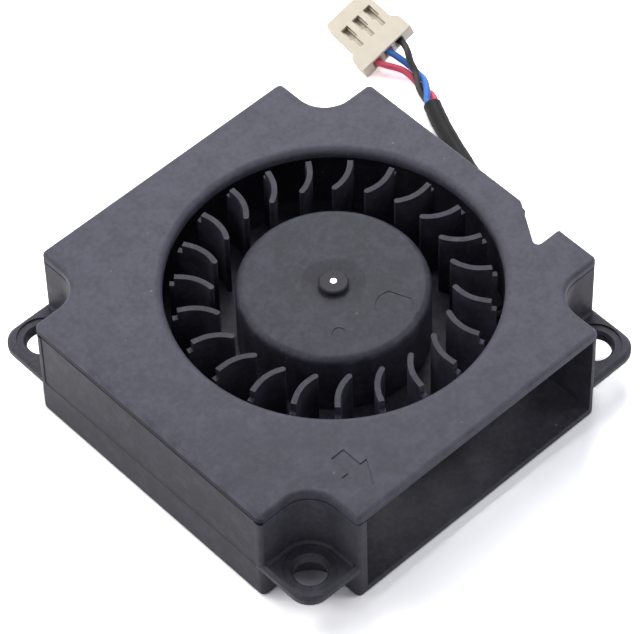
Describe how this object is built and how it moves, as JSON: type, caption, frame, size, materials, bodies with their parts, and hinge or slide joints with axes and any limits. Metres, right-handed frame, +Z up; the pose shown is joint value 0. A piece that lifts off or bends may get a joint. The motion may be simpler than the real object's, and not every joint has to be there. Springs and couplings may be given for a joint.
{
  "type": "dc blower fan",
  "caption": "Flat square centrifugal blower: round inlet on top, outlet on one side, corner ears, brushless motor inside, short lead with a connector.",
  "frame": {"origin": "middle of the housing's underside", "axes": "+Z up out of the inlet and along the rotor's axis, -Y out of the outlet, +X to the side where the lead leaves"},
  "size_m": [0.0465, 0.0424, 0.01],
  "materials": {
    "black_plastic": "fine-textured moulded plastic, satin",
    "rotor_plastic": "smooth moulded plastic, satin",
    "yoke_steel": "drawn steel, zinc plated",
    "magnet": "bonded ferrite, matt",
    "shaft_steel": "ground steel, bright",
    "nylon": "natural nylon",
    "brass": "turned brass",
    "sintered_bronze": "oil-filled sintered bronze",
    "core_steel": "stacked steel laminations",
    "insulator": "natural nylon",
    "copper": "enamelled copper wire",
    "board": "glass-epoxy board with solder mask",
    "chip": "moulded epoxy",
    "capacitor": "ceramic with tinned ends",
    "tin": "tinned metal",
    "solder": "solder, bright",
    "wire_red": "pvc insulation",
    "wire_blue": "pvc insulation",
    "wire_black": "pvc insulation",
    "sleeve": "shrink sleeve, satin",
    "ivory": "natural nylon, satin"
  },
  "bodies": {
    "housing": {"housing_base": "black_plastic", "top_cover": "black_plastic", "bearing_tube": "brass", "sleeve_bearing": "sintered_bronze", "thrust_pad": "nylon", "oil_washer": "nylon", "stator_core": "core_steel", "upper_insulator": "insulator", "lower_insulator": "insulator", "coil_1": "copper", "coil_2": "copper", "coil_3": "copper", "coil_4": "copper", "circuit_board": "board", "hall_sensor": "chip", "motor_driver_ic": "chip", "chip_capacitor": "capacitor", "chip_resistor": "chip", "winding_pins": "tin", "solder_joints": "solder", "inner_leads": "wire_black", "lead_red": "wire_red", "lead_blue": "wire_blue", "lead_black": "wire_black", "cable_sleeve": "sleeve", "connector_housing": "ivory", "connector_terminals": "tin"},
    "rotor": {"impeller": "rotor_plastic", "rotor_yoke": "yoke_steel", "ring_magnet": "magnet", "shaft": "shaft_steel", "shaft_lock_ring": "nylon"}
  },
  "joints": [
    {"name": "rotor_spin", "type": "hinge", "parent": "housing", "child": "rotor", "pos_m": [0.0017, 0, 0], "axis": [0, 0, 1], "continuous": true}
  ]
}
